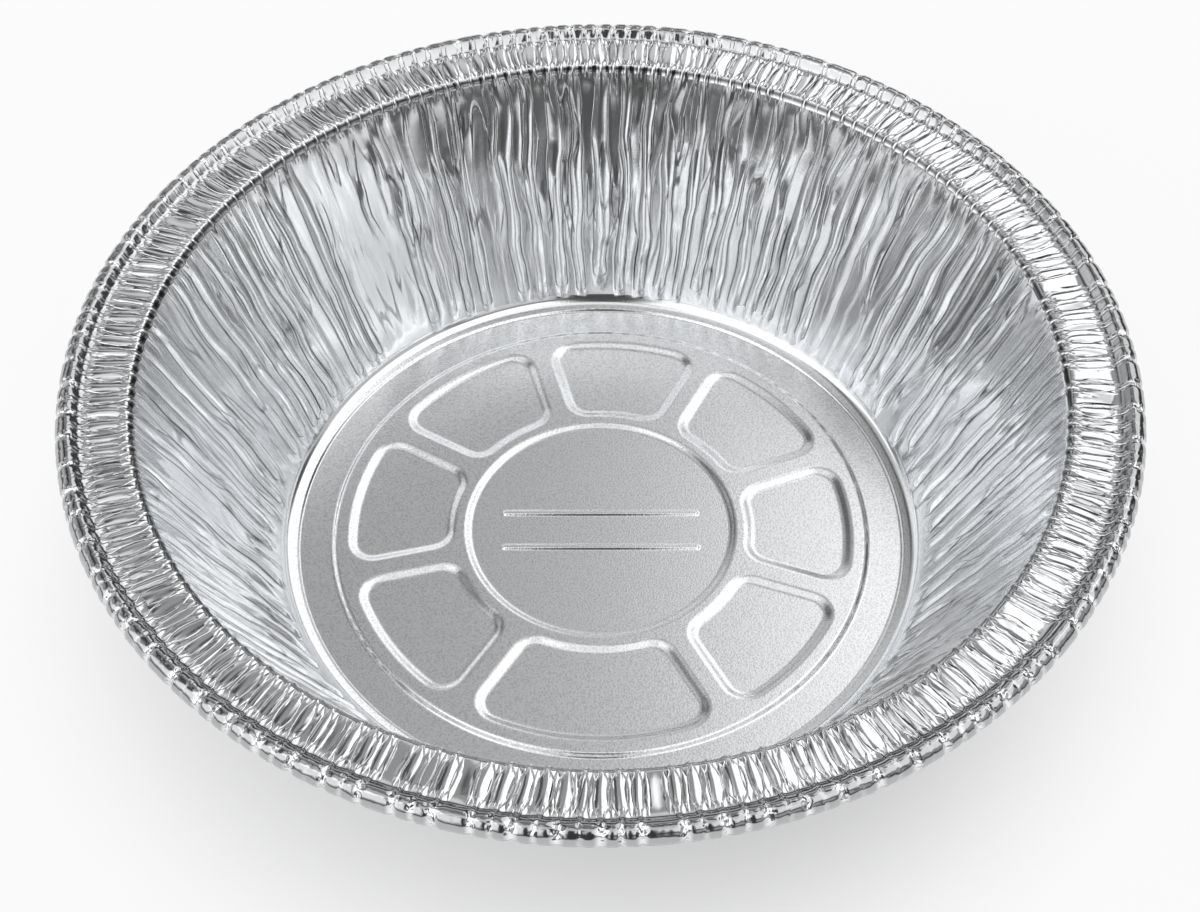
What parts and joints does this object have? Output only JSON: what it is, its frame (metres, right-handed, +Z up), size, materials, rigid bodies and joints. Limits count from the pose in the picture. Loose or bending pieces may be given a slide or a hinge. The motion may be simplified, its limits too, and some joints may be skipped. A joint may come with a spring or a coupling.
{
  "type": "foil pie tin",
  "caption": "Round dish pressed from aluminium foil, with a panelled floor, a pleated sloping wall, a flat pleated flange and a rolled rim.",
  "frame": {"origin": "centre of the tin, on the plane that it stands on", "axes": "+Z up along the tin's axis, towards its open mouth; two straight ribs on the middle disc run along X"},
  "size_m": [0.178, 0.178, 0.0458],
  "materials": {
    "foil": "bright rolled foil, satin on the pressed floor and glossy on the pleats and the rolled rim"
  },
  "bodies": {
    "root": {"pie_tin": "foil"}
  },
  "joints": []
}
